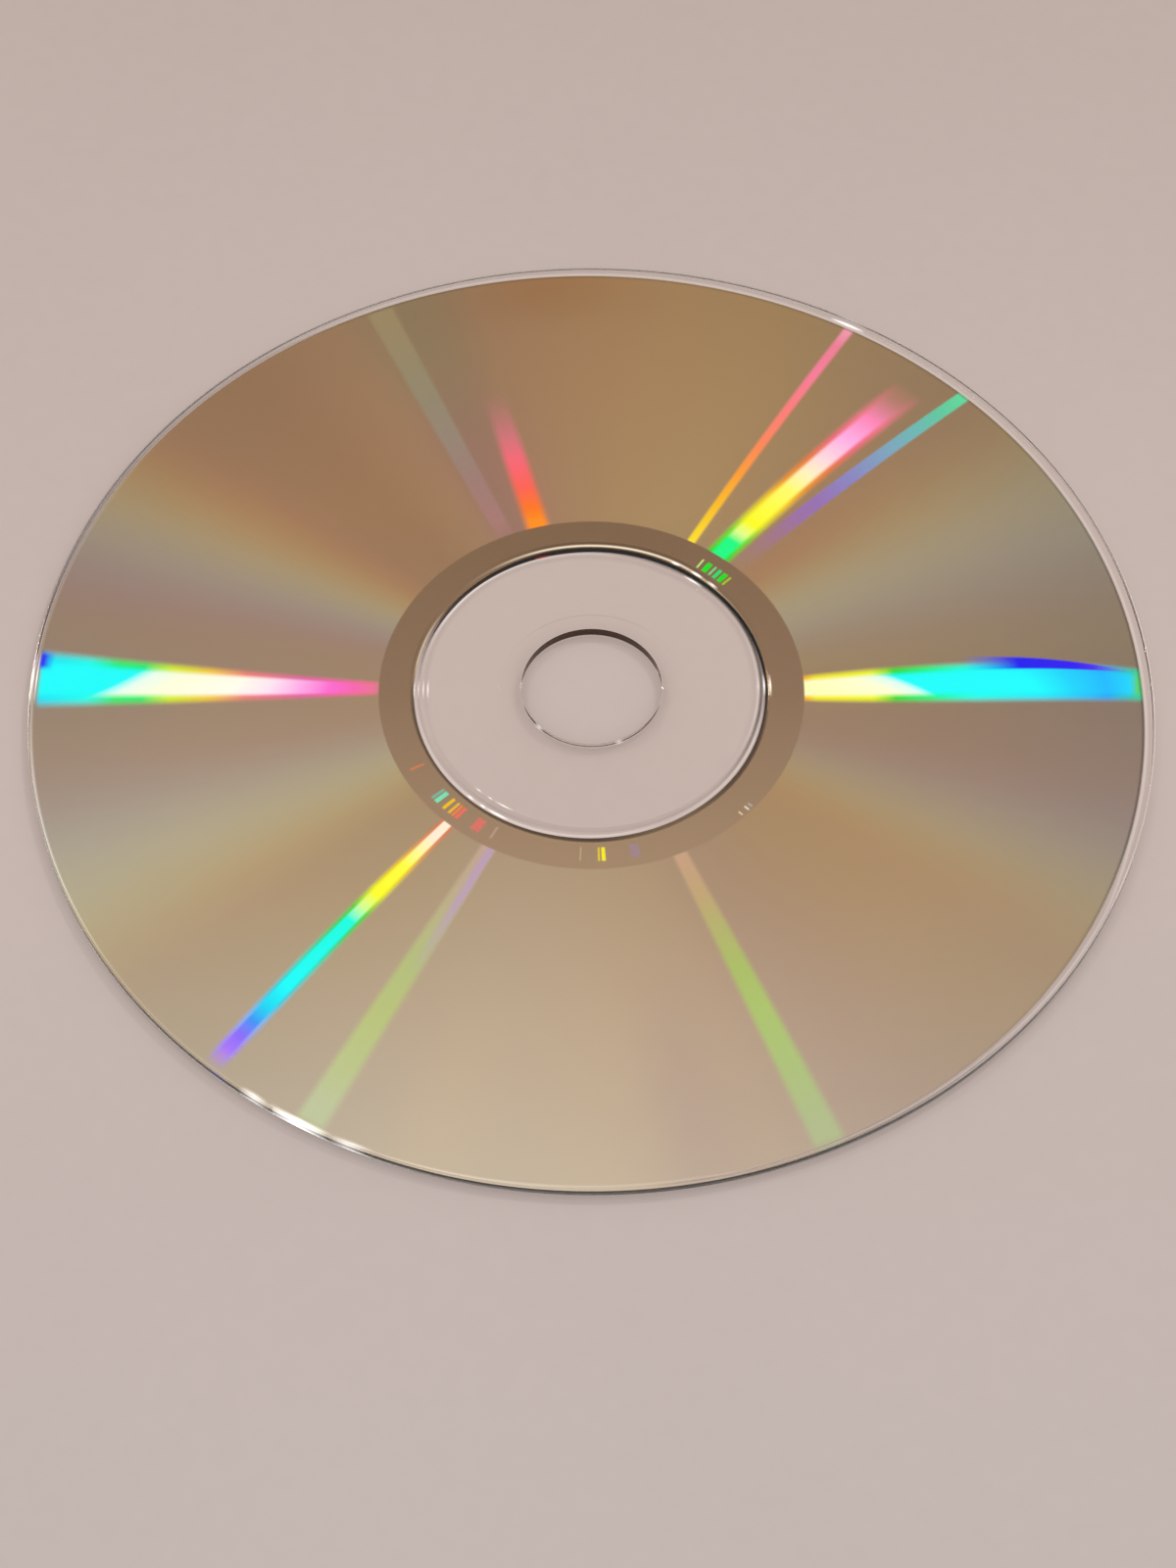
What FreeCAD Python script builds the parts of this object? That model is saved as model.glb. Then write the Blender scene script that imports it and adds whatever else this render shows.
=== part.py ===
"""Compact disc, lying with its data side up: a clear moulded disc and the metal layer on its underside.

Lengths are millimetres. Z is the disc's own axis, and Z = 0 is the plane that the disc lies on.
"""
import FreeCAD, Part
import os
from math import sin, tan

# The moulding's overall size
disc_diameter = 120.0
disc_thickness = 1.2
rim_edge_bevel = 0.2

# The hole
hole_diameter = 15.0
hole_edge_round = 0.15

# The shallow step round the hole, on the underside
hole_step_diameter = 20.0
hole_step_run = 0.3
hole_step_depth = 0.05
hole_step_round = 0.5

# The groove that the mould's holder leaves on the underside: a slope up, a crest and a slope down
groove_diameter = 35.2
groove_inner_run = 0.8
groove_outer_run = 0.45
groove_depth = 0.2
groove_inner_round = 1.0
groove_crest_round = 0.25
groove_outer_round = 1.2

# The metal layer, which starts on the groove's outer slope and stops short of the rim.
# Its two masks sat a little off centre, so its edges lie further out at the left and near side.
layer_thickness = 0.02
layer_edge_from_crest = 0.38
clear_rim_width = 0.75
inner_mask_left = 0.2
outer_mask_left = 0.4
masks_near = 0.2

# A rounding may take up this share of the shorter straight run beside its corner
round_share = 0.48

disc_radius = disc_diameter / 2
hole_radius = hole_diameter / 2
hole_step_radius = hole_step_diameter / 2
groove_inner_radius = groove_diameter / 2
groove_crest_radius = groove_inner_radius + groove_inner_run
groove_outer_radius = groove_crest_radius + groove_outer_run
layer_inner_radius = groove_crest_radius + layer_edge_from_crest
layer_outer_radius = disc_radius - clear_rim_width

centre = FreeCAD.Vector(0, 0, 0)
inner_mask_centre = FreeCAD.Vector(-inner_mask_left, -masks_near, 0)
outer_mask_centre = FreeCAD.Vector(-outer_mask_left, -masks_near, 0)
disc_axis = FreeCAD.Vector(0, 0, 1)


def rounded_section(corners):
    """Closed face in the XZ plane through corners (radius, height, rounding).

    A corner with a rounding becomes an arc tangent to the two runs beside it, and any other stays sharp.
    """
    points = [FreeCAD.Vector(radius, 0, height) for radius, height, rounding in corners]
    arcs = []
    for i, (radius, height, rounding) in enumerate(corners):
        back = points[i - 1] - points[i]
        ahead = points[(i + 1) % len(points)] - points[i]
        shorter_run = min(back.Length, ahead.Length)
        back.normalize()
        ahead.normalize()
        half_angle = back.getAngle(ahead) / 2
        reach = min(rounding / tan(half_angle), round_share * shorter_run)
        arc_radius = reach * tan(half_angle)
        to_centre = back + ahead
        to_centre.normalize()
        middle = points[i] + to_centre * (arc_radius / sin(half_angle) - arc_radius)
        arcs.append((points[i] + back * reach, middle, points[i] + ahead * reach))
    edges = []
    for i, (start, middle, end) in enumerate(arcs):
        next_start = arcs[(i + 1) % len(arcs)][0]
        if corners[i][2] > 0:
            edges.append(Part.Arc(start, middle, end).toShape())
        edges.append(Part.LineSegment(end, next_start).toShape())
    return Part.Face(Part.Wire(edges))


def moulded_disc():
    """The whole moulding, turned from its half section: top, bevelled rim, underside with groove and step, hole."""
    section = rounded_section([
        (hole_radius, disc_thickness, hole_edge_round),
        (disc_radius - rim_edge_bevel, disc_thickness, 0),
        (disc_radius, disc_thickness - rim_edge_bevel, 0),
        (disc_radius, rim_edge_bevel, 0),
        (disc_radius - rim_edge_bevel, 0, 0),
        (groove_outer_radius, 0, groove_outer_round),
        (groove_crest_radius, groove_depth, groove_crest_round),
        (groove_inner_radius, 0, groove_inner_round),
        (hole_step_radius, 0, hole_step_round),
        (hole_step_radius - hole_step_run, hole_step_depth, hole_step_round),
        (hole_radius, hole_step_depth, hole_edge_round),
    ])
    return section.revolve(centre, disc_axis, 360)


def metal_layer(moulding):
    """The skin of the underside between the two masks, with the groove's slope in it."""
    outside_mask = Part.makeCylinder(layer_outer_radius, disc_thickness, outer_mask_centre)
    inside_mask = Part.makeCylinder(layer_inner_radius, disc_thickness, inner_mask_centre)
    covered = moulding.common(outside_mask.cut(inside_mask))
    lifted = moulding.translated(disc_axis * layer_thickness)
    return covered.cut(lifted)


def main():
    """Write one file for each piece."""
    os.makedirs("parts", exist_ok=True)
    moulding = moulded_disc()
    layer = metal_layer(moulding)
    pieces = {"clear_disc": moulding.cut(layer), "reflective_layer": layer}
    for name, shape in pieces.items():
        solid = shape.Solids[0]
        solid.exportStep("parts/" + name + ".step")
        print(name, len(shape.Solids), "solid", round(solid.Volume, 2), "mm3, valid", solid.isValid())


main()
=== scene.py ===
"""Compact disc lying data side up on pale paper: the clear moulding, the metal layer in it, light and camera.

Shapes are worked out in millimetres, like the disc's drawing, and put into the meshes in metres.
"""
import bpy
import numpy as np
from mathutils import Matrix, Vector


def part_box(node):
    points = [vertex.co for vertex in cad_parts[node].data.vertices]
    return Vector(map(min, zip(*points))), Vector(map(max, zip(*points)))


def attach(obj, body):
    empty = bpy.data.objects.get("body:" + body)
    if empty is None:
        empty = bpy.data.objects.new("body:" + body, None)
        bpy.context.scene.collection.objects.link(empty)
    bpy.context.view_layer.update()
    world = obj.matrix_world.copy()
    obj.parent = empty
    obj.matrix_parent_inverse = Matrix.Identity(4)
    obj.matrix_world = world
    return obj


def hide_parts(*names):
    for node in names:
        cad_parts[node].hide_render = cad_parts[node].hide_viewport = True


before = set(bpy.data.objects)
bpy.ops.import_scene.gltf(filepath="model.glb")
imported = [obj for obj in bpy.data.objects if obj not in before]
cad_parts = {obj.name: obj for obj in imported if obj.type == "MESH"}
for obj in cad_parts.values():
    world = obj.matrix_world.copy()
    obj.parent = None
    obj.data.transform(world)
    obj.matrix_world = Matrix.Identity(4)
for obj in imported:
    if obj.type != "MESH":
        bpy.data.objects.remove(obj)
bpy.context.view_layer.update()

metre = 0.001

# The moulding
disc_radius = -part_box("clear_disc")[0][0] / metre
disc_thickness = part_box("clear_disc")[1][2] / metre
rim_bevel = 0.2
rim_edge_round = 0.05
hole_radius = 7.5
hole_round = 0.15
hole_step_radius = 10.0
hole_step_run = 0.3
hole_step_depth = 0.05
hole_step_round = 0.5
groove_inner_radius = 17.6
groove_crest_radius = 18.4
groove_outer_radius = 18.85
groove_depth = 0.2
groove_inner_round = 1.0
groove_crest_round = 0.25
groove_outer_round = 1.2
round_share = 0.48

# The metal layer, and the centres of the two masks that leave its edges
layer_thickness = 0.02
layer_inner_radius = 18.78
layer_outer_radius = 59.25
inner_mask_centre = np.array([-0.2, -0.2])
outer_mask_centre = np.array([-0.4, -0.2])
data_inner_radius = 22.75
streak_end_radius = 57.0
ramp_start = 21.0
ramp_end = 60.5

# How finely the surfaces are turned
turn_steps = 600
arc_steps = 10
slope_rows = 16
crest_rows = 28
slope_foot_radius = 19.3
groove_start_radius = 17.3
support_share = 0.04
sharp_angle = 0.6

turn = np.linspace(0, 2 * np.pi, turn_steps, endpoint=False)


def section_line(corners):
    """Points (radius, height) of a line through corners (radius, height, rounding).

    Each inner corner becomes an arc tangent to the two runs beside it. Its points turn in equal angles about
    the arc's own centre, and one more point on each run, close to the arc, keeps the flats flat when shaded.
    """
    points = []
    for i, (radius, height, rounding) in enumerate(corners):
        here = np.array([radius, height])
        if rounding == 0 or i in (0, len(corners) - 1):
            points.append(here[None])
            continue
        back = np.array(corners[i - 1][:2]) - here
        ahead = np.array(corners[i + 1][:2]) - here
        shorter_run = min(np.linalg.norm(back), np.linalg.norm(ahead))
        back /= np.linalg.norm(back)
        ahead /= np.linalg.norm(ahead)
        half_angle = np.arccos(np.clip(back @ ahead, -1, 1)) / 2
        reach = min(rounding / np.tan(half_angle), round_share * shorter_run)
        arc_radius = reach * np.tan(half_angle)
        middle_way = (back + ahead) / np.linalg.norm(back + ahead)
        centre = here + middle_way * arc_radius / np.sin(half_angle)
        start = here + back * reach - centre
        end = here + ahead * reach - centre
        sweep = np.pi - 2 * half_angle
        share = np.linspace(0, 1, arc_steps + 1)[:, None]
        arc = (np.sin((1 - share) * sweep) * start + np.sin(share * sweep) * end) / np.sin(sweep)
        beside = support_share * reach
        points += [here[None] + back * (reach + beside), centre + arc, here[None] + ahead * (reach + beside)]
    return np.concatenate(points)


def mask_edge(radius, centre):
    """How far a mask's edge is from the disc's axis, at each step of the turn.

    With c the way of its centre along the ray at that angle and s the centre's whole shift, the edge of a
    mask of radius R is at c + sqrt(R^2 - s^2 + c^2).
    """
    along = centre[0] * np.cos(turn) + centre[1] * np.sin(turn)
    return along + np.sqrt(radius**2 - centre @ centre + along**2)


def between(start, end, count):
    """Rows from one radius to another, in equal steps at each angle of the turn."""
    share = np.linspace(0, 1, count)[:, None]
    start, end = (np.broadcast_to(radius, turn_steps) for radius in (start, end))
    return (1 - share) * start + share * end


inner_edge = mask_edge(layer_inner_radius, inner_mask_centre)
outer_edge = mask_edge(layer_outer_radius, outer_mask_centre)

underside = section_line([
    (disc_radius - rim_bevel, 0, 0),
    (groove_outer_radius, 0, groove_outer_round),
    (groove_crest_radius, groove_depth, groove_crest_round),
    (groove_inner_radius, 0, groove_inner_round),
    (hole_step_radius, 0, hole_step_round),
    (hole_step_radius - hole_step_run, hole_step_depth, hole_step_round),
    (hole_radius + hole_round, hole_step_depth, 0),
])


def underside_height(radius):
    """Height of the moulding's underside at a radius, read off its line."""
    return np.interp(radius, underside[::-1, 0], underside[::-1, 1])


def turned_mesh(name, radii, heights):
    """Closed surface turned about Z: radii and heights hold one row for each ring, each row round the turn.

    A point of ring i at angle t is (radius cos t, radius sin t, height); each ring joins the next, the last
    joins the first, and the four corners of a face run so that it points away from the section.
    """
    rings = len(radii)
    radii = np.broadcast_to(np.reshape(radii, (rings, -1)), (rings, turn_steps)) * metre
    heights = np.broadcast_to(np.reshape(heights, (rings, -1)), (rings, turn_steps)) * metre
    spots = np.stack([radii * np.cos(turn), radii * np.sin(turn), heights], -1).reshape(-1, 3)
    ring, step = np.meshgrid(np.arange(rings), np.arange(turn_steps), indexing="ij")
    next_ring = (ring + 1) % rings
    next_step = (step + 1) % turn_steps
    corners = np.stack([
        ring * turn_steps + step,
        ring * turn_steps + next_step,
        next_ring * turn_steps + next_step,
        next_ring * turn_steps + step,
    ], -1).reshape(-1, 4)
    mesh = bpy.data.meshes.new(name)
    mesh.from_pydata(spots.tolist(), [], corners.tolist())
    mesh.polygons.foreach_set("use_smooth", np.ones(len(corners), bool))
    mesh.set_sharp_from_angle(angle=sharp_angle)
    mesh.update()
    piece = bpy.data.objects.new(name, mesh)
    bpy.context.scene.collection.objects.link(piece)
    return piece


def clear_moulding():
    """The moulding: over the top from the hole to the rim, down the rim and back along the underside.

    Where the metal lies, the underside runs in the middle of the metal's thickness, so the two are bonded.
    """
    over_the_top = section_line([
        (hole_radius, disc_thickness / 2, 0),
        (hole_radius, disc_thickness, hole_round),
        (disc_radius - rim_bevel, disc_thickness, rim_edge_round),
        (disc_radius, disc_thickness - rim_bevel, rim_edge_round),
        (disc_radius, rim_bevel, rim_edge_round),
        (disc_radius - rim_bevel, 0, 0),
    ])
    hole_foot = section_line([
        (hole_radius + 2 * hole_round, hole_step_depth, 0),
        (hole_radius, hole_step_depth, hole_round),
        (hole_radius, disc_thickness / 2, 0),
    ])[1:-1]
    below = underside[1:-1]
    inside = below[below[:, 0] < groove_start_radius]
    lift = layer_thickness / 2
    covered = np.vstack([outer_edge, between(slope_foot_radius, inner_edge, slope_rows)])
    bare = between(inner_edge, groove_start_radius, crest_rows)
    parts = [
        (over_the_top[:, :1], over_the_top[:, 1:]),
        (outer_edge[None], np.zeros((1, 1))),
        (covered, underside_height(covered) + lift),
        (bare, underside_height(bare)),
        (inside[:, :1], inside[:, 1:]),
        (hole_foot[:, :1], hole_foot[:, 1:]),
    ]
    radii, heights = (np.vstack([np.broadcast_to(part[i], (len(part[i]), turn_steps)) for part in parts])
                      for i in (0, 1))
    return turned_mesh("clear_moulding", radii[::-1], heights[::-1])


def metal_skin():
    """The metal: out along its upper face from the inner edge, and back along its lower face."""
    slope = between(inner_edge, slope_foot_radius, slope_rows)
    flat = np.broadcast_to(data_inner_radius, (1, turn_steps))
    out_radii = np.vstack([slope, flat, outer_edge])
    out_heights = underside_height(out_radii)
    radii = np.vstack([out_radii, out_radii[::-1]])
    heights = np.vstack([out_heights + layer_thickness, out_heights[::-1]])
    piece = turned_mesh("metal_layer", radii[::-1], heights[::-1])
    below_faces = np.repeat(np.arange(len(radii)) < len(out_radii), turn_steps)
    piece.data.polygons.foreach_set("material_index", below_faces.astype(np.int32))
    return piece


# The light: how strongly the surround shines, and how much of its own reflection the plastic's face keeps.
# From the camera's height the face reflects bare_reflection of the surround when it keeps none of it, and
# full_reflection when it keeps all.
surround_strength = 0.76
gloss_tint = 0.5
bare_reflection = 0.0018
full_reflection = 0.0525
face_reflects = bare_reflection + (full_reflection - bare_reflection) * gloss_tint

# What the face adds to every colour under it, and how much of the surround comes back from white metal
face_gloss = face_reflects * surround_strength
surround_share = (1 - face_reflects) ** 2 * surround_strength

# Lamps: (direction towards +X, direction towards +Y, share of the floor's light, radius in millimetres)
lamp_distance = 1.2
lamps = [
    (0.43, 0.579, 0.12, 38),
    (-0.43, 0.579, 0.07, 38),
    (-0.283, 0.235, 0.03, 20),
]
lamp_colour = (1.0, 0.97, 0.92)
surround_colour = (1.0, 0.99, 0.98, 1.0)

black = (0.0, 0.0, 0.0, 1.0)


def linear(red, green, blue):
    """The linear light of a colour given as it looks, 0 to 255 a channel."""
    look = np.array([red, green, blue]) / 255
    low = look / 12.92
    high = ((look + 0.055) / 1.055) ** 2.4
    return (*np.where(look <= 0.04045, low, high).tolist(), 1.0)


class Field:
    """A value that varies over a surface. Arithmetic on it adds Math nodes."""

    def __init__(self, finish, socket):
        self.finish = finish
        self.socket = socket

    def math(self, operation, *others):
        """The result of a Math node on this value and the others."""
        return self.finish.math(operation, self, *others)

    def __add__(self, other):
        return self.math("ADD", other)

    def __radd__(self, other):
        return self.math("ADD", other)

    def __sub__(self, other):
        return self.math("SUBTRACT", other)

    def __rsub__(self, other):
        return self.finish.math("SUBTRACT", other, self)

    def __mul__(self, other):
        return self.math("MULTIPLY", other)

    def __rmul__(self, other):
        return self.math("MULTIPLY", other)

    def __truediv__(self, other):
        return self.math("DIVIDE", other)

    def __neg__(self):
        return self.math("MULTIPLY", -1.0)

    def step(self, low, high):
        """0 at low and 1 at high, smooth between them."""
        node = self.finish.node(
            "ShaderNodeMapRange", {"interpolation_type": "SMOOTHSTEP"}, {0: self, 1: low, 2: high})
        return Field(self.finish, node.outputs[0])

    def bell(self, half_width):
        """1 where the value is 0, falling to 1/e at half_width on either side."""
        spread = self * (1 / half_width)
        return (-(spread * spread)).math("EXPONENT")


class Finish:
    """A material under construction, with the disc's own coordinates in millimetres."""

    def __init__(self, name):
        self.material = bpy.data.materials.new(name)
        self.material.use_nodes = True
        self.tree = self.material.node_tree
        self.tree.nodes.clear()
        self.surface = self.node("ShaderNodeBsdfPrincipled", {})
        self.output = self.node("ShaderNodeOutputMaterial", {}, {"Surface": self.surface.outputs[0]})
        place = self.node("ShaderNodeTexCoord").outputs["Object"]
        scaled = self.node("ShaderNodeVectorMath", {"operation": "SCALE"}, {0: place, "Scale": 1 / metre})
        self.place = scaled.outputs[0]
        split = self.node("ShaderNodeSeparateXYZ", {}, {0: self.place})
        self.x, self.y, self.z = (Field(self, socket) for socket in split.outputs)
        self.radius = (self.x * self.x + self.y * self.y).math("SQRT")

    def node(self, kind, settings=None, inputs=None):
        """A node of a kind: its settings are set first, then the values or links of its sockets."""
        made = self.tree.nodes.new(kind)
        for name, value in (settings or {}).items():
            if name == "stops":
                self.set_stops(made, value)
            else:
                setattr(made, name, value)
        for name, value in (inputs or {}).items():
            self.connect(value, made.inputs[name])
        return made

    def connect(self, value, socket):
        """Links a field or another node's socket to this socket, or gives it a plain value."""
        value = value.socket if isinstance(value, Field) else value
        if isinstance(value, bpy.types.NodeSocket):
            self.tree.links.new(value, socket)
        else:
            socket.default_value = value

    def math(self, operation, *values):
        """The result of a Math node on values, in their order."""
        made = self.node("ShaderNodeMath", {"operation": operation}, dict(enumerate(values)))
        return Field(self, made.outputs[0])

    def set_stops(self, made, stops):
        """Puts the stops (place, colour) on a colour ramp."""
        points = made.color_ramp.elements
        while len(points) < len(stops):
            points.new(1.0)
        for point, (place, colour) in zip(points, stops):
            point.position = place
            point.color = colour

    def ramp(self, along, stops, interpolation="LINEAR"):
        """Colour along a value, through stops (value, colour) in the value's own units."""
        first, last = stops[0][0], stops[-1][0]
        share = (along - first) / (last - first)
        placed = [((value - first) / (last - first), colour) for value, colour in stops]
        made = self.node("ShaderNodeValToRGB", {"stops": placed}, {"Fac": share})
        made.color_ramp.interpolation = interpolation
        return made.outputs["Color"]

    def mix(self, factor, under, over, blend="MIX"):
        """under where factor is 0; over, or under blended with it in the way that blend says, where it is 1."""
        made = self.node("ShaderNodeMix", {"data_type": "RGBA", "blend_type": blend}, {"Factor": factor})
        colours = [socket for socket in made.inputs if socket.type == "RGBA"]
        self.connect(under, colours[0])
        self.connect(over, colours[1])
        return next(socket for socket in made.outputs if socket.type == "RGBA")

    def vector(self, operation, first, second=None, **others):
        """A Vector Math node's result, for colours and places."""
        inputs = {0: first, **others}
        if second is not None:
            inputs[1] = second
        return self.node("ShaderNodeVectorMath", {"operation": operation}, inputs).outputs[0]

    def noise(self, scale, detail=3.0):
        """Noise from 0 to 1, with features 1/scale millimetres across."""
        made = self.node("ShaderNodeTexNoise", {}, {"Vector": self.place, "Scale": scale, "Detail": detail})
        return Field(self, made.outputs[0])

    def set(self, **values):
        """Values or links for the surface's sockets; an underscore in a name stands for a space."""
        for name, value in values.items():
            self.connect(value, self.surface.inputs[name.replace("_", " ")])


# Painted light and shade in the plastic at the groove, by angle: (angle, radius of the dark line of painted
# shade, how dark it is, how bright the painted highlight inside it is, how bright the painted highlight along
# the metal's edge is)
crest_start, crest_span = 18.0, 1.0
crest_light_and_shade = [
    (0, 18.15, 0.75, 0.12, 0.0),
    (15, 18.28, 0.88, 0.08, 0.0),
    (26, 18.38, 0.94, 0.02, 0.0),
    (40, 18.42, 0.80, 0.0, 0.0),
    (52, 18.35, 0.45, 0.0, 0.0),
    (65, 18.28, 0.30, 0.0, 0.0),
    (78, 18.40, 0.25, 0.0, 0.0),
    (90, 18.54, 0.0, 0.10, 0.0),
    (105, 18.58, 0.0, 0.13, 0.0),
    (117, 18.68, 0.30, 0.18, 0.0),
    (130, 18.70, 0.88, 0.28, 0.0),
    (146, 18.65, 0.93, 0.32, 0.0),
    (157, 18.64, 0.60, 0.12, 0.0),
    (166, 18.60, 0.30, 0.04, 0.0),
    (178, 18.50, 0.12, 0.0, 0.04),
    (200, 18.45, 0.08, 0.0, 0.13),
    (214, 18.42, 0.12, 0.0, 0.15),
    (238, 18.38, 0.22, 0.0, 0.24),
    (258, 18.35, 0.05, 0.0, 0.17),
    (276, 18.38, 0.08, 0.0, 0.19),
    (295, 18.27, 0.12, 0.0, 0.06),
    (318, 18.15, 0.18, 0.0, 0.13),
    (330, 18.08, 0.38, 0.02, 0.16),
    (338, 18.06, 0.58, 0.05, 0.20),
    (350, 18.10, 0.82, 0.13, 0.05),
    (360, 18.15, 0.75, 0.12, 0.0),
]

# Painted light and shade at the rim, by angle: (angle, radius of the painted bright line, how bright it is,
# how dark the painted shade at the metal's edge is, how much the rim's wall shades the floor)
rim_start, rim_span = 58.5, 2.0
rim_light_and_shade = [
    (0, 59.07, 0.13, 0.45, 0.15),
    (30, 59.02, 0.10, 0.30, 0.15),
    (55, 59.05, 0.10, 0.30, 0.15),
    (75, 59.20, 0.12, 0.28, 0.20),
    (92, 59.35, 0.13, 0.30, 0.25),
    (115, 59.55, 0.09, 0.25, 0.30),
    (130, 59.80, 0.0, 0.20, 0.60),
    (150, 59.40, 0.04, 0.30, 1.0),
    (165, 59.45, 0.08, 0.30, 1.0),
    (178, 59.60, 0.10, 0.0, 1.0),
    (190, 59.68, 0.26, 0.0, 1.0),
    (205, 59.72, 0.42, 0.0, 1.0),
    (216, 59.74, 0.48, 0.0, 1.0),
    (232, 59.66, 0.42, 0.0, 1.0),
    (246, 59.60, 0.40, 0.0, 1.0),
    (256, 59.40, 0.20, 0.0, 1.0),
    (268, 59.25, 0.12, 0.0, 1.0),
    (280, 59.15, 0.06, 0.0, 1.0),
    (286, 59.50, 0.10, 0.0, 1.0),
    (300, 59.58, 0.20, 0.0, 1.0),
    (320, 59.60, 0.20, 0.10, 1.0),
    (332, 59.60, 0.12, 0.30, 0.90),
    (340, 59.20, 0.12, 0.50, 0.60),
    (352, 59.12, 0.13, 0.50, 0.30),
    (360, 59.07, 0.13, 0.45, 0.15),
]

# Painted glints, standing for the lamps' glints on the groove, the rim and the hole. Each group has peaks by
# angle and peaks by radius, every one (place, half width, height)
glint_strength = 1.4
glint_colour = (1.0, 0.98, 0.97)
glint_groups = [
    ([(1.7, 4.6, 1.0)], [(17.88, 0.12, 0.2), (18.48, 0.14, 0.9), (19.14, 0.15, 1.0)]),
    ([(180.3, 4.4, 1.0)], [(17.49, 0.11, 0.5), (17.98, 0.10, 0.45), (18.51, 0.10, 0.4), (18.97, 0.11, 0.4)]),
    ([(46.8, 2.4, 0.8), (53.4, 2.4, 1.0), (61.5, 1.8, 0.8)], [(19.22, 0.22, 1.0)]),
    ([(52.8, 4.2, 1.0)], [(18.19, 0.15, 0.9)]),
    ([(227.8, 1.6, 0.6), (233.0, 1.3, 0.6), (238.7, 4.0, 0.8)], [(17.54, 0.13, 0.7), (18.80, 0.15, 0.9)]),
    ([(60.3, 2.2, 1.0)], [(59.43, 0.24, 1.0)]),
    ([(236.0, 1.6, 0.6), (241.2, 3.6, 1.0), (247.0, 2.2, 0.5)], [(59.52, 0.42, 1.0)]),
    ([(178.8, 3.4, 0.9)], [(59.44, 0.12, 0.8), (59.84, 0.12, 1.0)]),
    ([(4.0, 4.0, 0.5), (18.6, 4.0, 0.4)], [(7.55, 0.2, 0.6)]),
    ([(175.0, 8.0, 0.6), (222.0, 5.0, 0.4), (293.0, 4.0, 0.4)], [(7.55, 0.2, 0.6)]),
]

# The one painted glint that is as wide as the rim, by angle
wide_glint = [(236.5, 2.0, 0.4), (241.2, 3.4, 1.0), (246.5, 2.0, 0.4)]

# Painted light that the plastic glows with: brown in its dark lines and on the hole's wall, pale on its bevel
line_glow = (0.030, 0.014, 0.007)
bevel_glow = (0.17, 0.145, 0.13)

# The plastic's tint, and the light that a face and a wall let through to the floor
plastic_tint = (1.0, 0.995, 0.985)
plastic_ior = 1.585
face_passes = (0.985, 0.965, 0.955, 1.0)
wall_passes = (0.48, 0.46, 0.44, 1.0)


class RoundFinish(Finish):
    """A finish in polar coordinates.

    angle runs from 0 to 360 degrees with its cut at +X, and right_angle from -180 to 180 with its cut at -X.
    arc is the length of one degree in millimetres.
    """

    def __init__(self, name):
        super().__init__(name)
        degrees = float(180 / np.pi)
        self.angle = (-self.y).math("ARCTAN2", -self.x).math("MULTIPLY_ADD", degrees, 180.0)
        self.right_angle = self.y.math("ARCTAN2", self.x) * degrees
        self.arc = self.radius * (1 / degrees)

    def angle_near(self, degrees):
        """The angle that has no cut near this many degrees."""
        near_cut = 10
        return self.right_angle if degrees < near_cut else self.angle

    def by_angle(self, rows, start, span):
        """Four values by angle, through rows (angle, radius, share, share, share)."""
        stops = [(row[0] / 360, ((row[1] - start) / span, *row[2:])) for row in rows]
        made = self.node("ShaderNodeValToRGB", {"stops": stops}, {"Fac": self.angle * (1 / 360)})
        split = self.node("ShaderNodeSeparateColor", {}, {0: made.outputs["Color"]})
        place, *others = (Field(self, socket) for socket in (*split.outputs, made.outputs["Alpha"]))
        return place.math("MULTIPLY_ADD", span, start), *others

    def from_mask(self, centre):
        """Distance from a mask's centre."""
        across = self.x - float(centre[0])
        along = self.y - float(centre[1])
        return (across * across + along * along).math("SQRT")

    def peaks(self, value, spots):
        """0, with a straight-sided peak at each spot (place, half width, height)."""
        stops = []
        for place, half, height in spots:
            stops += [(place - half, black), (place, (height, height, height, 1.0)), (place + half, black)]
        return Field(self, self.ramp(value, stops))

    def rim(self):
        """The rim's painted highlight and painted shade: how bright, how dark, and how much the wall shades.

        The painted dark line lies inside_edge within the metal's edge, and at the left left_shift further out.
        """
        bright_half, dark_half = 0.14, 0.12
        inside_edge, left_shift = 0.15, 0.35
        at_left = self.x.step(-28.0, -36.0)
        place, bright, dark, shade = self.by_angle(rim_light_and_shade, rim_start, rim_span)
        off_dark = self.from_mask(outer_mask_centre) - layer_outer_radius + inside_edge - left_shift * at_left
        return (self.radius - place).bell(bright_half) * bright, off_dark.bell(dark_half) * dark, shade

    def groove(self):
        """The groove's painted shade and highlights: how dark, how much a painted dip inside them at the far
        side takes away, how bright.

        The bright line lies bright_inside within the dark one, the dip dip_inside within it, and the line
        along the metal's edge edge_inside within that edge.
        """
        dark_half, bright_half, edge_half, dip_half = 0.2, 0.12, 0.13, 0.3
        bright_inside, edge_inside, dip_inside = 0.36, 0.24, 0.7
        dip_depth = 0.1
        at_far_side = self.y.step(-16.0, 8.0)
        place, dark, bright, edge_bright = self.by_angle(crest_light_and_shade, crest_start, crest_span)
        off_line = self.radius - place
        off_edge = self.from_mask(inner_mask_centre) - (layer_inner_radius - edge_inside)
        dip = (off_line + dip_inside).bell(dip_half) * at_far_side * dip_depth
        light = (off_line + bright_inside).bell(bright_half) * bright + off_edge.bell(edge_half) * edge_bright
        return off_line.bell(dark_half) * dark, dip, light

    def glints(self):
        """Painted white glints on the groove, the rim and the hole, where the lamps' light would glint."""
        light = 0.0
        for angles, radii in glint_groups:
            angle = self.angle_near(angles[0][0])
            light = self.peaks(angle, angles) * self.peaks(self.radius, radii) + light
        return light * glint_strength


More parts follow.
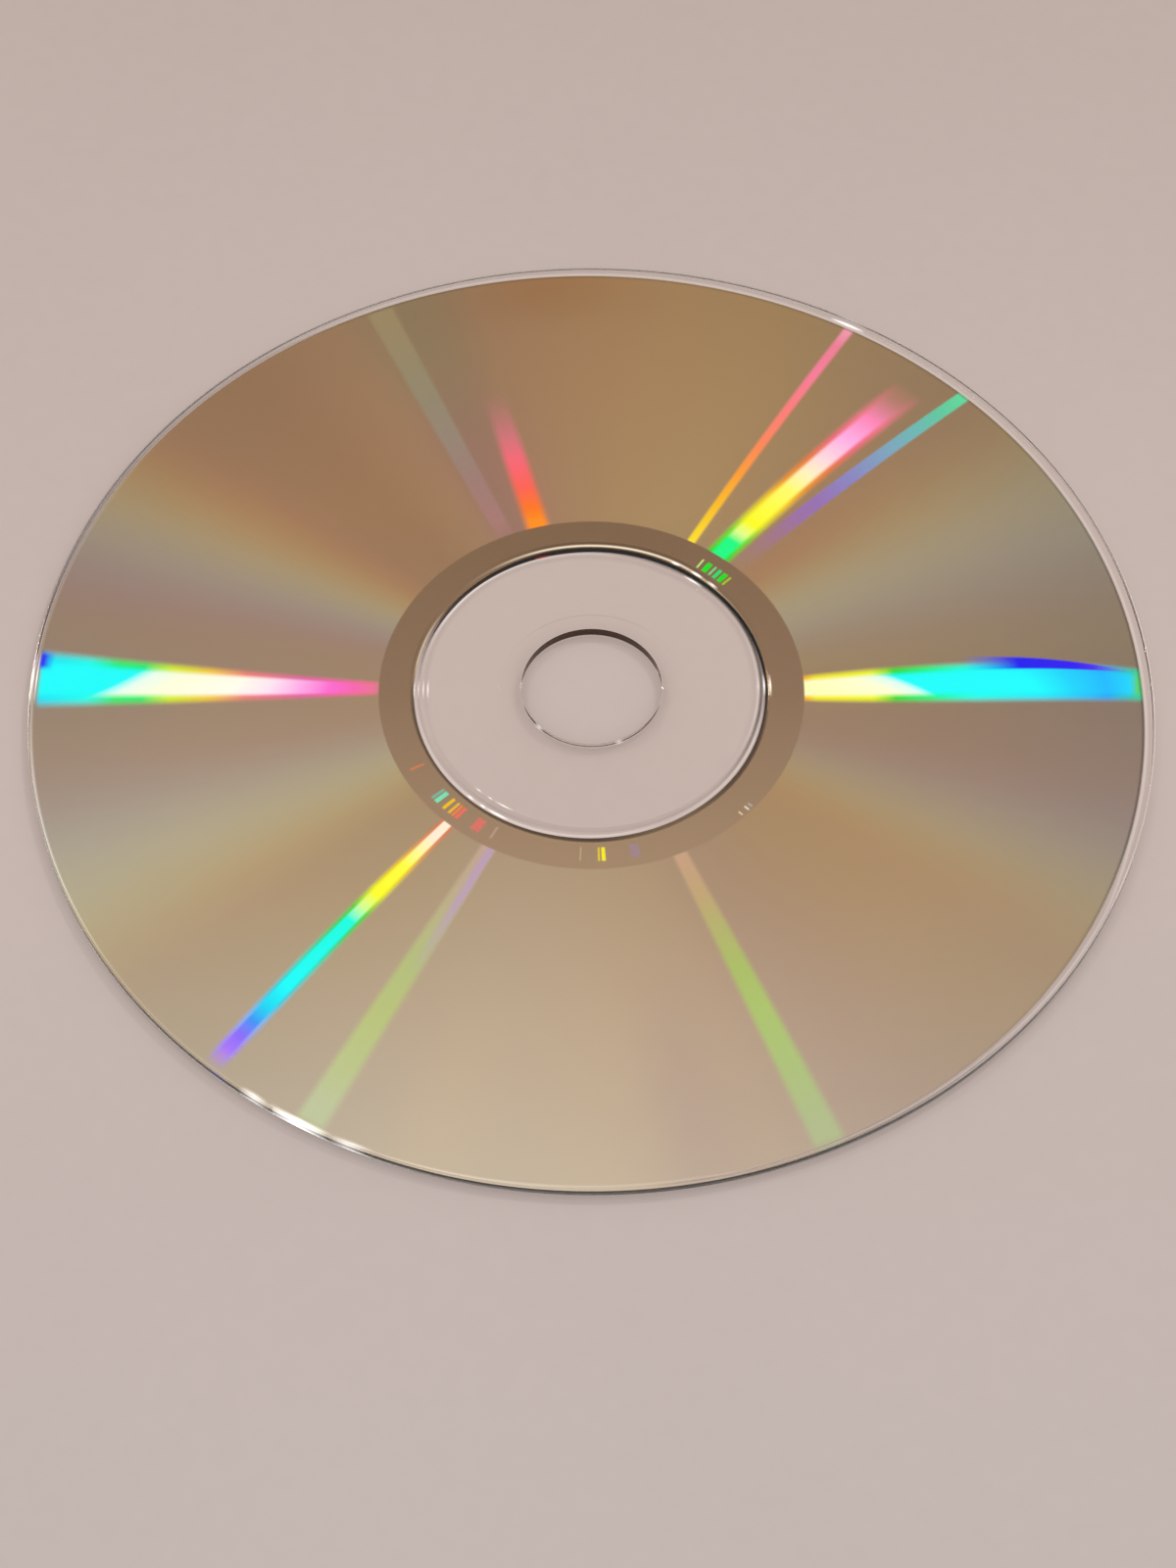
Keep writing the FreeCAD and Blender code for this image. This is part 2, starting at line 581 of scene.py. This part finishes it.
def clear_plastic():
    """Clear plastic with a trace of handling and a satin rim.

    Light and shade are painted on: dark lines of painted shade hold light back, and painted highlights and
    glints glow, most of them on its lower half. Its bevel and the hole's wall glow with painted light too.
    Shadow and diffuse rays pass through it, dimmed a little by its faces and more by its walls.
    """
    finish = RoundFinish("clear_plastic")
    handling_roughness = 0.012
    satin_roughness = 0.3
    bevel_start = disc_radius - rim_bevel
    bevel_middle = disc_radius - rim_bevel / 2
    handling = finish.noise(0.08).step(0.45, 0.75) * handling_roughness
    satin = finish.radius.step(bevel_start - rim_edge_round, bevel_middle) * satin_roughness
    below = finish.z.step(0.7, 0.5)
    hole_wall = finish.radius.step(hole_radius + hole_round, hole_radius)
    line, dip, groove_bright = finish.groove()
    rim_bright, rim_dark, rim_shade = finish.rim()
    # Painted shade: the dark lines, the dip and the metal's dark edge take some light out of the colour
    kept = 1 - below * (line + dip + rim_dark).math("MINIMUM", 1.0)
    bevel = finish.radius.step(bevel_start, disc_radius - 0.75 * rim_bevel) * finish.z.step(0.85, 1.0)
    rim_edge = finish.radius.step(bevel_start - rim_bevel / 2, bevel_start) * finish.z.step(0.3, 0.6)
    # Painted light: white glints, a brown glow on dark lines and the hole's wall, a pale glow on the bevel
    shine = below * (groove_bright + rim_bright + finish.glints())
    glows = [
        (glint_colour, shine + finish.peaks(finish.angle, wide_glint) * rim_edge),
        (line_glow, below * line + hole_wall),
        (bevel_glow, bevel * (1 - rim_shade)),
    ]
    glow = (0.0, 0.0, 0.0)
    for colour, strength in glows:
        glow = finish.vector("ADD", finish.vector("SCALE", colour, Scale=strength), glow)
    finish.set(Base_Color=finish.vector("SCALE", plastic_tint, Scale=kept * kept), Transmission_Weight=1.0,
               IOR=plastic_ior, Specular_Tint=(gloss_tint, gloss_tint, gloss_tint, 1.0),
               Roughness=handling + satin, Emission_Color=glow, Emission_Strength=1.0)
    finish.material.cycles.emission_sampling = "NONE"
    path = finish.node("ShaderNodeLightPath")
    passing = Field(finish, path.outputs["Is Shadow Ray"]).math("MAXIMUM", path.outputs["Is Diffuse Ray"])
    face = finish.node("ShaderNodeBsdfTransparent", {}, {"Color": face_passes})
    wall = finish.node("ShaderNodeBsdfTransparent", {}, {"Color": wall_passes})
    walls = hole_wall.math("MAXIMUM", finish.radius.step(bevel_start, bevel_middle) * rim_shade)
    through = finish.node("ShaderNodeMixShader", {}, {0: walls, 1: face.outputs[0], 2: wall.outputs[0]})
    surface = finish.surface.outputs[0]
    both = finish.node("ShaderNodeMixShader", {}, {0: passing, 1: surface, 2: through.outputs[0]})
    finish.tree.links.new(both.outputs[0], finish.output.inputs["Surface"])
    return finish.material


def lacquered_back():
    """The plain underside: silver metal under a clear lacquer."""
    finish = Finish("lacquered_back")
    cloud = finish.noise(0.15, 4.0)
    colour = finish.mix(cloud, linear(196, 197, 198), linear(206, 206, 205))
    finish.set(Base_Color=colour, Metallic=0.9, Roughness=0.22 + 0.08 * finish.noise(0.9),
               Coat_Weight=0.5, Coat_Roughness=0.1)
    return finish.material


# The data side is painted as it looks from the near side, over a colour that goes by how far away a spot
# is: painted reflections of the room. Room light leaves soft fans on it all round, and these are painted
# too. Each is a rainbow spread over a few degrees: green peaks at its angle, blue spread degrees further
# round and red as many degrees before, each fading out over half_width degrees: (angle, spread, half_width,
# heights in linear light)
rainbow_steps = 8
rainbows = [
    (27.5, -3.75, 17.0, (0.15, 0.37, 0.6)),
    (155.5, 4.25, 12.5, (0.2, 0.4, 0.6)),
    (204.5, -3.5, 15.0, (0.12, 0.33, 0.45)),
    (335.5, 4.0, 12.0, (0.08, 0.19, 0.25)),
]

# The calm tint of painted room light that the rainbows are added to: (angle, tint in linear light)
tint_limit = 1.2
calm_tints = [
    (0, (1.05, 0.95, 0.85)),
    (9, (1.05, 1.05, 0.9)),
    (45, (1.0, 1.0, 0.95)),
    (72, (1.05, 1.1, 1.0)),
    (104, (0.95, 0.9, 1.0)),
    (112, (0.85, 0.85, 1.05)),
    (120, (0.95, 0.9, 0.95)),
    (135, (0.9, 0.8, 0.75)),
    (175, (1.05, 1.0, 1.0)),
    (200, (1.05, 1.0, 0.9)),
    (222, (0.95, 0.95, 0.85)),
    (252, (0.95, 1.0, 1.05)),
    (282, (0.95, 0.95, 0.95)),
    (300, (0.9, 0.85, 0.85)),
    (322, (1.0, 0.9, 0.7)),
    (350, (1.0, 0.9, 0.85)),
    (360, (1.05, 0.95, 0.85)),
]

# Painted fans of room light that only show on part of the way out: (angle, half width in degrees, radius
# where it starts, radius where it is full, tint in linear light)
part_fans = [
    (40, 6, 50, 24, (1.04, 0.90, 0.90)),
    (95, 9, 50, 57, (0.95, 0.86, 0.72)),
    (104, 5, 44, 24, (1.06, 0.96, 1.04)),
    (112, 7, 50, 30, (1.02, 0.90, 1.05)),
    (110, 7, 30, 40, (0.94, 0.99, 0.99)),
    (112, 7, 36, 52, (0.96, 1.07, 0.95)),
    (254, 5, 34, 54, (1.05, 1.03, 0.98)),
    (281, 5, 30, 50, (0.93, 0.91, 1.00)),
]

# The painted streaks of light that single lamps leave. Each follows a line from the inner to the outer angle,
# where the data area starts and ends. half_width and bulge are in millimetres and bow in degrees; skew slants
# the core's colours; core and edge hold the colours by radius, and rise and fall say where the streak comes
# and goes.
streaks = [
    dict(angles=(0.5, 0.9), half_width=(1.55, 2.1), bow=0.8, bulge=0.5, skew=(2.6, 0.0),
         rise=(22, 22.5), fall=(58.6, 59.4),
         core=[(24, (254, 255, 190)), (30.5, (255, 255, 215)), (33, (225, 255, 245)), (34.5, (0, 253, 253)),
               (47, (0, 253, 255)), (51, (0, 215, 253)), (55, (0, 188, 255)), (57.6, (0, 213, 253)),
               (58.4, (93, 208, 120))],
         edge=[(22, (250, 130, 30)), (24, (250, 235, 20)), (30, (240, 250, 25)), (32.5, (30, 225, 20)),
               (36, (10, 245, 130)), (41, (0, 253, 235)), (48, (0, 235, 253)), (55, (10, 175, 250)),
               (58.4, (60, 205, 160))]),
    dict(angles=(4.4, 2.6), half_width=(0.15, 0.15), bow=1.5, bulge=0.7, rise=(40, 46), fall=(54, 58),
         core=[(40, (10, 120, 250)), (45, (8, 0, 240)), (52, (60, 20, 245)), (57, (110, 70, 235))]),
    dict(angles=(46.4, 44.2), half_width=(0.85, 0.75), rise=(22, 33), fall=(58.6, 59.4),
         core=[(24, (165, 121, 135)), (30, (161, 115, 158)), (36, (152, 116, 180)), (41, (140, 136, 196)),
               (46, (130, 163, 192)), (51, (112, 184, 184)), (55, (100, 200, 162)), (58, (100, 214, 158))]),
    dict(angles=(52.4, 49.0), half_width=(1.35, 1.9), rise=(22, 22.5), fall=(49, 55.5), soft=0.35,
         core=[(25.4, (15, 250, 135)), (26.8, (225, 255, 140)), (28.5, (252, 252, 25)),
               (31.5, (255, 253, 70)), (35, (254, 252, 110)), (38, (255, 244, 190)), (41, (255, 218, 224)),
               (45, (254, 175, 230)), (49, (253, 136, 186)), (53, (215, 130, 130))],
         edge=[(23, (50, 218, 25)), (26.5, (110, 228, 20)), (29, (225, 228, 8)), (33, (250, 205, 8)),
               (36, (245, 155, 8)), (40, (244, 124, 55)), (44, (246, 108, 125)), (49, (240, 122, 140))]),
    dict(angles=(61.3, 59.9), half_width=(0.45, 0.55), rise=(22, 22.5), fall=(58.6, 59.4), soft=0.5,
         core=[(23, (252, 222, 50)), (29, (250, 188, 42)), (34, (252, 158, 58)), (39, (252, 136, 92)),
               (45, (250, 127, 125)), (51, (246, 126, 155)), (56, (236, 128, 152)), (58, (238, 150, 170))]),
    dict(angles=(105.2, 105.4), half_width=(1.15, 1.2), rise=(22, 22.5), fall=(33, 43), soft=0.5,
         core=[(23.5, (255, 146, 6)), (25.5, (252, 122, 22)), (28.5, (251, 103, 85)), (32, (246, 105, 118)),
               (36, (225, 116, 132)), (42, (190, 124, 124))]),
    dict(angles=(114.7, 114.7), half_width=(0.9, 1.5), rise=(22, 25), fall=(58.6, 59.4),
         core=[(24, (169, 124, 118)), (31, (160, 126, 118)), (38, (150, 134, 118)), (46, (147, 136, 110)),
               (57, (154, 135, 100))]),
    dict(angles=(179.9, 178.9), half_width=(0.85, 3.2), skew=(0.0, -1.8),
         rise=(21.5, 23.5), fall=(58.9, 59.4),
         core=[(23.5, (236, 118, 155)), (25.5, (248, 105, 180)), (28, (253, 110, 212)), (31, (255, 170, 233)),
               (34.5, (255, 230, 246)), (38, (254, 254, 238)), (45, (253, 255, 222)), (48.5, (235, 255, 240)),
               (50.5, (0, 252, 252)), (60, (0, 254, 255))],
         edge=[(24, (225, 118, 138)), (31, (225, 105, 160)), (37, (240, 130, 125)), (41, (246, 205, 60)),
               (45, (215, 240, 40)), (48, (20, 238, 110)), (51, (0, 240, 120)), (54, (0, 250, 235)),
               (60.4, (0, 215, 250))]),
    dict(angles=(178.5, 176.6), half_width=(0.1, 0.95), rise=(57.8, 59.0), fall=(59.2, 59.5), soft=0.5,
         core=[(57, (20, 120, 245)), (58.2, (30, 60, 245)), (59.5, (60, 25, 240))]),
    dict(angles=(229.0, 230.6), half_width=(0.75, 1.0), bulge=0.15, soft=0.4,
         rise=(22, 22.5), fall=(57, 59.4),
         core=[(25, (254, 240, 215)), (27.5, (254, 252, 150)), (29.5, (253, 254, 70)), (34, (252, 253, 50)),
               (36, (210, 255, 150)), (38, (30, 252, 225)), (48, (0, 252, 253)), (51, (10, 215, 246)),
               (53, (70, 150, 248)), (55, (142, 112, 252)), (58, (180, 128, 250))],
         edge=[(24, (226, 118, 82)), (27, (236, 152, 80)), (30, (246, 208, 36)), (33.5, (238, 236, 18)),
               (36.5, (55, 218, 30)), (40, (15, 215, 112)), (45, (20, 220, 200)), (50, (50, 205, 235)),
               (53, (135, 180, 250)), (56, (165, 140, 248))]),
    dict(angles=(242.1, 242.2), half_width=(0.75, 1.5), rise=(22, 22.5), fall=(58.6, 60), soft=0.4,
         core=[(25, (192, 166, 147)), (31, (187, 176, 138)), (38, (181, 190, 128)), (46, (186, 196, 128)),
               (52, (189, 198, 142)), (57, (192, 199, 160))]),
    dict(angles=(243.0, 243.0), half_width=(0.4, 0.6), rise=(22, 22.5), fall=(30, 40), soft=0.6,
         core=[(25, (188, 160, 182)), (35, (187, 168, 176))]),
    dict(angles=(293.8, 293.4), half_width=(0.75, 1.5), rise=(22, 22.5), fall=(58.6, 60), soft=0.4,
         core=[(24, (198, 162, 132)), (28, (193, 166, 122)), (32, (183, 178, 115)), (37, (173, 189, 107)),
               (43, (174, 196, 114)), (50, (175, 194, 127)), (57, (179, 189, 144))]),
]


# Painted shade on the metal's slope beside the groove, by angle: (angle, radius where it ends, how dark it
# is, radius of the painted bright line beyond it as a share of the span, how bright that is). A thin dark
# line of painted shade lies beyond that one.
slope_start, slope_span = 18.0, 2.0
slope_shades = [
    (0, 18.85, 0.45, 0.50, 0.0),
    (12, 18.60, 0.20, 0.33, 0.0),
    (20, 18.60, 0.20, 0.36, 0.08),
    (30, 18.62, 0.40, 0.42, 0.12),
    (44, 18.75, 0.85, 0.50, 0.22),
    (52, 18.90, 0.95, 0.60, 0.55),
    (60, 19.00, 0.97, 0.665, 0.95),
    (75, 19.10, 0.97, 0.685, 1.0),
    (90, 19.13, 0.97, 0.68, 1.0),
    (105, 19.15, 0.97, 0.70, 0.9),
    (112, 19.10, 0.97, 0.70, 0.6),
    (117, 19.05, 0.97, 0.70, 0.45),
    (124, 18.98, 0.94, 0.70, 0.15),
    (135, 18.85, 0.92, 0.70, 0.03),
    (146, 18.80, 0.92, 0.50, 0.0),
    (153, 18.70, 0.50, 0.52, 0.25),
    (160, 18.70, 0.0, 0.515, 0.5),
    (170, 18.75, 0.0, 0.50, 0.5),
    (180, 19.30, 0.45, 0.45, 0.1),
    (188, 19.35, 0.60, 0.45, 0.0),
    (201, 19.33, 0.70, 0.45, 0.0),
    (225, 19.37, 0.68, 0.45, 0.0),
    (250, 19.42, 0.80, 0.45, 0.0),
    (272, 19.45, 0.82, 0.45, 0.0),
    (290, 19.35, 0.60, 0.45, 0.0),
    (302, 19.28, 0.56, 0.45, 0.0),
    (320, 19.25, 0.74, 0.45, 0.0),
    (338, 19.10, 0.80, 0.45, 0.0),
    (350, 19.00, 0.62, 0.50, 0.0),
    (360, 18.85, 0.45, 0.50, 0.0),
]

# Short coloured bars where the marks in the mirror band catch the lamps' light, painted: (inner radius,
# outer radius, bars), with every bar (angle, width in degrees, colour). bar_softness is in degrees.
bar_softness = 0.25
bar_groups = [
    (20.0, 21.35, [
        (44.6, 0.5, (170, 190, 40)),
        (46.4, 1.3, (40, 222, 20)),
        (48.5, 0.9, (10, 225, 110)),
        (50.3, 0.5, (130, 205, 130)),
        (52.4, 1.5, (30, 225, 25)),
        (54.9, 0.4, (190, 220, 130)),
    ]),
    (20.1, 21.75, [
        (208.8, 0.5, (205, 125, 85)),
        (220.0, 0.6, (125, 180, 160)),
        (221.6, 1.2, (125, 225, 180)),
        (224.7, 0.8, (240, 192, 30)),
        (226.8, 0.6, (235, 180, 60)),
        (228.1, 0.5, (240, 130, 70)),
        (229.4, 0.8, (240, 112, 95)),
        (235.9, 2.6, (215, 118, 105)),
    ]),
    (20.1, 21.75, [
        (241.1, 0.5, (180, 150, 128)),
        (267.0, 0.2, (185, 165, 125)),
        (272.2, 0.3, (235, 205, 45)),
        (273.5, 0.8, (248, 238, 45)),
        (282.5, 2.4, (160, 134, 138)),
    ]),
    (21.9, 22.5, [
        (314.6, 0.3, (215, 190, 160)),
        (317.0, 0.4, (215, 205, 190)),
        (318.4, 0.4, (170, 165, 150)),
    ]),
]

# How far the painted areas and the bars fade on either side of a radius, and the slope likewise
radius_softness = 0.12
slope_softness = 0.14

# The slope's painted shade, in linear light, and its painted highlight as it looks, with the half width of its
# lines
slope_shade = (0.018, 0.006, 0.002, 1.0)
slope_shine = (255, 238, 212)
slope_line_half = 0.13
dark_line_beyond = 0.4
dark_line_share = 0.5


def seen(red, green, blue):
    """The linear colour to paint on the metal where the disc looks like this, less what the plastic's face
    reflects.
    """
    return (*(max(channel - face_gloss, 0.0) for channel in linear(red, green, blue)[:3]), 1.0)


def seen_stops(stops):
    """Stops (place, colour as the disc looks) with the linear colours to paint on the metal."""
    return [(place, seen(*colour)) for place, colour in stops]


def rainbow_stops():
    """The rainbows' colours by angle, as the stops of a ramp: each channel is a bell about its own angle."""
    stops = []
    for centre, spread, half_width, heights in rainbows:
        reach = half_width + abs(spread)
        for angle in np.linspace(centre - reach, centre + reach, rainbow_steps):
            offsets = angle - centre - spread * np.array([-1, 0, 1])
            bells = np.cos(np.clip(offsets / half_width, -1, 1) * np.pi / 2) ** 2
            stops.append((float(angle), (*(float(light) for light in bells * heights), 1.0)))
    return stops


class DataSide(RoundFinish):
    """The metal as it looks through the plastic, with its reflections and lamp light painted on.

    share is 0 where the data area starts and 1 where its streaks end, and hump is 4 share (1 - share).
    """

    def __init__(self):
        super().__init__("data_side")
        self.share = (self.radius - data_inner_radius) * (1 / (streak_end_radius - data_inner_radius))
        self.hump = self.share * (1 - self.share) * 4
        self.ramp_share = (self.radius - ramp_start) * (1 / (ramp_end - ramp_start))

    def by_radius(self, stops, across=None):
        """Colour by radius, or by radius plus a distance across."""
        placed = [((value - ramp_start) / (ramp_end - ramp_start), colour) for value, colour in stops]
        share = self.ramp_share
        if across:
            share = across.math("MULTIPLY_ADD", 1 / (ramp_end - ramp_start), share)
        return self.node("ShaderNodeValToRGB", {"stops": placed}, {"Fac": share}).outputs["Color"]

    def add_fan(self, colour, angle, half_width, start, full, tint):
        """Paints a fan of room light: a bell in the angle from the fan's own ray, times a rise along it."""
        strength = (self.angle - angle).bell(half_width) * self.radius.step(start, full)
        return self.mix(strength, colour, (*tint, 1.0), "MULTIPLY")

    def add_streak(self, colour, angles, half_width, core, rise, fall,
                   edge=None, bow=0.0, bulge=0.0, skew=None, soft=0.25):
        """Lays a painted streak of lamp light over the colour.

        The middle is at angles[0] + share (angles[1] - angles[0]) + bow hump, and the half width is
        half_width[0] + share (half_width[1] - half_width[0]) + bulge hump. The edge's colours go by the
        radius, and the core's by the radius plus the distance across times
        skew[0] + share (skew[1] - skew[0]).
        """
        angle = self.angle_near(angles[0])
        middle = self.share.math("MULTIPLY_ADD", angles[1] - angles[0], angles[0])
        width = self.share.math("MULTIPLY_ADD", half_width[1] - half_width[0], half_width[0])
        if bow:
            middle = self.hump.math("MULTIPLY_ADD", bow, middle)
        if bulge:
            width = self.hump.math("MULTIPLY_ADD", bulge, width)
        across = (angle - middle) * self.arc
        off = across.math("ABSOLUTE") / width
        white = (1.0, 1.0, 1.0, 1.0)
        reach = self.by_radius([(rise[0], black), (rise[1], white), (fall[0], white), (fall[1], black)])
        strength = off.step(1 + soft, 1 - soft) * Field(self, reach)
        across = across * self.share.math("MULTIPLY_ADD", skew[1] - skew[0], skew[0]) if skew else None
        paint = self.by_radius(seen_stops(core), across)
        if edge:
            paint = self.mix(off.step(0.45, 0.85), paint, self.by_radius(seen_stops(edge)))
        return self.mix(strength, colour, paint)

    def add_bars(self, colour, inner, outer, bars):
        """Lays a group of bars over the colour, each with soft ends and sides."""
        stops = []
        for angle, width, paint in bars:
            half = width / 2
            for side in (-1, 1):
                stops.append((angle + side * half, (*seen(*paint)[:3], 1.0)))
                stops.append((angle + side * (half + bar_softness), (*seen(*paint)[:3], 0.0)))
        stops.sort()
        first, last = stops[0][0], stops[-1][0]
        placed = [((angle - first) / (last - first), paint) for angle, paint in stops]
        share = (self.angle - first) * (1 / (last - first))
        made = self.node("ShaderNodeValToRGB", {"stops": placed}, {"Fac": share})
        start = self.radius.step(inner - radius_softness, inner + radius_softness)
        end = self.radius.step(outer + radius_softness, outer - radius_softness)
        return self.mix(Field(self, made.outputs["Alpha"]) * start * end, colour, made.outputs["Color"])

    def add_slope(self, colour):
        """Paints shade on the metal's slope beside the groove, and a bright and a dark painted line beyond it.
        """
        end, dark, place, bright = self.by_angle(slope_shades, slope_start, slope_span)
        beyond = self.radius - end
        colour = self.mix(beyond.step(slope_softness, -slope_softness) * dark, colour, slope_shade)
        off_line = self.radius - place.math("MULTIPLY_ADD", slope_span, slope_start)
        dark_line = (off_line - dark_line_beyond).bell(slope_line_half) * bright * dark_line_share
        colour = self.mix(dark_line, colour, black)
        return self.mix(off_line.bell(slope_line_half) * bright, colour, seen(*slope_shine))


def data_side():
    """The metal seen through the plastic, with painted reflections and lamp light: mirror band, data area, soft
    colours and the sharp streaks.

    The part of a colour that the surround's light can give goes into the metal, and the metal glows with
    the rest as painted light.
    """
    finish = DataSide()
    # Painted reflection of the room: lighter nearer, bluer and darker to the left and the right
    colour = finish.ramp(finish.y, seen_stops([
        (-60, (206, 184, 158)),
        (-24, (180, 154, 124)),
        (0, (157, 134, 108)),
        (24, (165, 133, 98)),
        (60, (160, 124, 88)),
    ]))
    colour = finish.mix(finish.x.step(0.0, 70.0), colour, (0.70, 0.79, 1.08, 1.0), "MULTIPLY")
    colour = finish.mix(finish.x.step(0.0, -70.0), colour, (0.86, 0.93, 1.14, 1.0), "MULTIPLY")
    tints = [(angle, (*(channel / tint_limit for channel in tint), 1.0)) for angle, tint in calm_tints]
    calm = finish.vector("SCALE", finish.ramp(finish.angle, tints, "CARDINAL"), Scale=tint_limit)
    around = finish.vector("ADD", calm, finish.ramp(finish.angle, rainbow_stops(), "CARDINAL"))
    # Painted reflection, a little darker and cooler towards the rim
    colour = finish.mix(finish.radius.step(40.0, 60.0), colour, (0.955, 0.98, 0.99, 1.0), "MULTIPLY")
    colour = finish.vector("MULTIPLY", colour, around)
    for fan in part_fans:
        colour = finish.add_fan(colour, *fan)
    for streak in streaks:
        colour = finish.add_streak(colour, **streak)
    # The mirror band's painted reflection of the room, lighter nearer
    band = finish.ramp(finish.y, seen_stops([
        (-23, (164, 137, 110)),
        (0, (140, 113, 90)),
        (23, (128, 101, 77)),
    ]))
    band = finish.add_slope(band)
    for group in bar_groups:
        band = finish.add_bars(band, *group)
    data_area = finish.radius.step(data_inner_radius - radius_softness, data_inner_radius + radius_softness)
    # Painted shade along the metal's outer edge, and the rim's painted highlight for its glow
    rim_bright, rim_dark = finish.rim()[:2]
    colour = finish.mix(rim_dark, finish.mix(data_area, band, colour), black)
    # Beyond what the surround gives back, the metal glows with painted light, and with the painted glints
    scaled = finish.vector("SCALE", colour, Scale=1 / surround_share)
    base = finish.vector("MINIMUM", scaled, (1.0, 1.0, 1.0))
    beyond = finish.vector("MAXIMUM", finish.vector("SUBTRACT", scaled, (1.0, 1.0, 1.0)), (0.0, 0.0, 0.0))
    glow = finish.vector("SCALE", beyond, Scale=surround_share)
    shine = finish.vector("SCALE", glint_colour, Scale=rim_bright + finish.glints())
    finish.set(Base_Color=base, Metallic=1.0, Roughness=0.06 + 0.03 * finish.noise(0.5),
               Emission_Color=finish.vector("ADD", glow, shine), Emission_Strength=1.0)
    finish.material.cycles.emission_sampling = "NONE"
    return finish.material


def paper():
    """Pale pinkish paper, with painted shade a little darker far away and a faint cloudy unevenness."""
    finish = Finish("paper")
    shade = finish.ramp(finish.y, [
        (-150, linear(204, 192, 190)),
        (0, linear(206, 190, 184)),
        (70, linear(198, 183, 177)),
        (170, linear(188, 171, 164)),
    ])
    cloud = finish.noise(0.012) * 0.6 + finish.noise(0.4) * 0.4
    colour = finish.mix(cloud, shade, (0.90, 0.90, 0.90, 1.0), "MULTIPLY")
    finish.set(Base_Color=colour, Roughness=0.9, Specular_IOR_Level=0.0)
    return finish.material


def floor():
    """A wide square sheet of paper just under the disc."""
    half = 3.0
    height = -0.02 * metre
    spots = [(side * half, end * half, height) for side, end in ((-1, -1), (1, -1), (1, 1), (-1, 1))]
    mesh = bpy.data.meshes.new("floor")
    mesh.from_pydata(spots, [], [(0, 1, 2, 3)])
    sheet = bpy.data.objects.new("floor", mesh)
    bpy.context.scene.collection.objects.link(sheet)
    sheet.data.materials.append(paper())
    return sheet


def light(receivers):
    """An even pale surround, and the lamps whose glints show on the edges of the pieces that receive them.

    The metal isn't one of them: its streaks are the lamps' own light, and are painted on it.
    """
    lit = bpy.data.collections.new("lit_by_lamps")
    for piece in receivers:
        lit.objects.link(piece)
    world = bpy.data.worlds.new("surround")
    bpy.context.scene.world = world
    world.use_nodes = True
    background = world.node_tree.nodes["Background"]
    background.inputs["Color"].default_value = surround_colour
    background.inputs["Strength"].default_value = surround_strength
    for i, (towards_x, towards_y, share, radius) in enumerate(lamps):
        height = np.sqrt(1 - towards_x**2 - towards_y**2)
        direction = Vector((towards_x, towards_y, height))
        lamp = bpy.data.lights.new(f"lamp_{i + 1}", "AREA")
        lamp.shape = "DISK"
        lamp.size = 2 * radius * metre
        lamp.energy = share * np.pi**2 * lamp_distance**2 / height
        lamp.color = lamp_colour
        holder = bpy.data.objects.new(lamp.name, lamp)
        facing = direction.to_track_quat("Z", "Y").to_matrix().to_4x4()
        holder.matrix_world = Matrix.Translation(direction * lamp_distance) @ facing
        holder.light_linking.receiver_collection = lit
        bpy.context.scene.collection.objects.link(holder)


def camera():
    """The photograph's camera: a tilt, a distance, a small roll, and the disc's centre at its place in it."""
    picture_width, picture_height = 1200, 1600
    centre_across, centre_down = 603.6, 703.3
    focal_pixels = 3431.0
    tilt = np.radians(54.6)
    distance = 359.6 * metre
    roll = np.radians(-0.15)
    target_height = 0.54 * metre
    sensor = 36.0
    back = Vector((0, -np.cos(tilt), np.sin(tilt)))
    right = Vector((1, 0, 0))
    axes = Matrix((right, back.cross(right), back)).transposed()
    ray = Vector((centre_across - picture_width / 2, picture_height / 2 - centre_down, -focal_pixels))
    off_axis = Vector((0, 0, -1)).rotation_difference(ray).to_matrix()
    turned = axes @ Matrix.Rotation(-roll, 3, "Z") @ off_axis.transposed()
    lens = bpy.data.cameras.new("camera")
    lens.sensor_width = sensor
    lens.lens = focal_pixels * sensor / picture_height
    lens.clip_start = 0.01
    viewer = bpy.data.objects.new("camera", lens)
    place = back * distance + Vector((0, 0, target_height))
    viewer.matrix_world = Matrix.Translation(place) @ turned.to_4x4()
    bpy.context.scene.collection.objects.link(viewer)
    bpy.context.scene.camera = viewer


bpy.context.scene.view_settings.view_transform = "Standard"
camera()
sheet = floor()

moulding = clear_moulding()
moulding.data.materials.append(clear_plastic())
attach(moulding, "root")
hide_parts("clear_disc")

metal = metal_skin()
metal.data.materials.append(data_side())
metal.data.materials.append(lacquered_back())
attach(metal, "root")
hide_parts("reflective_layer")

light([sheet, moulding])
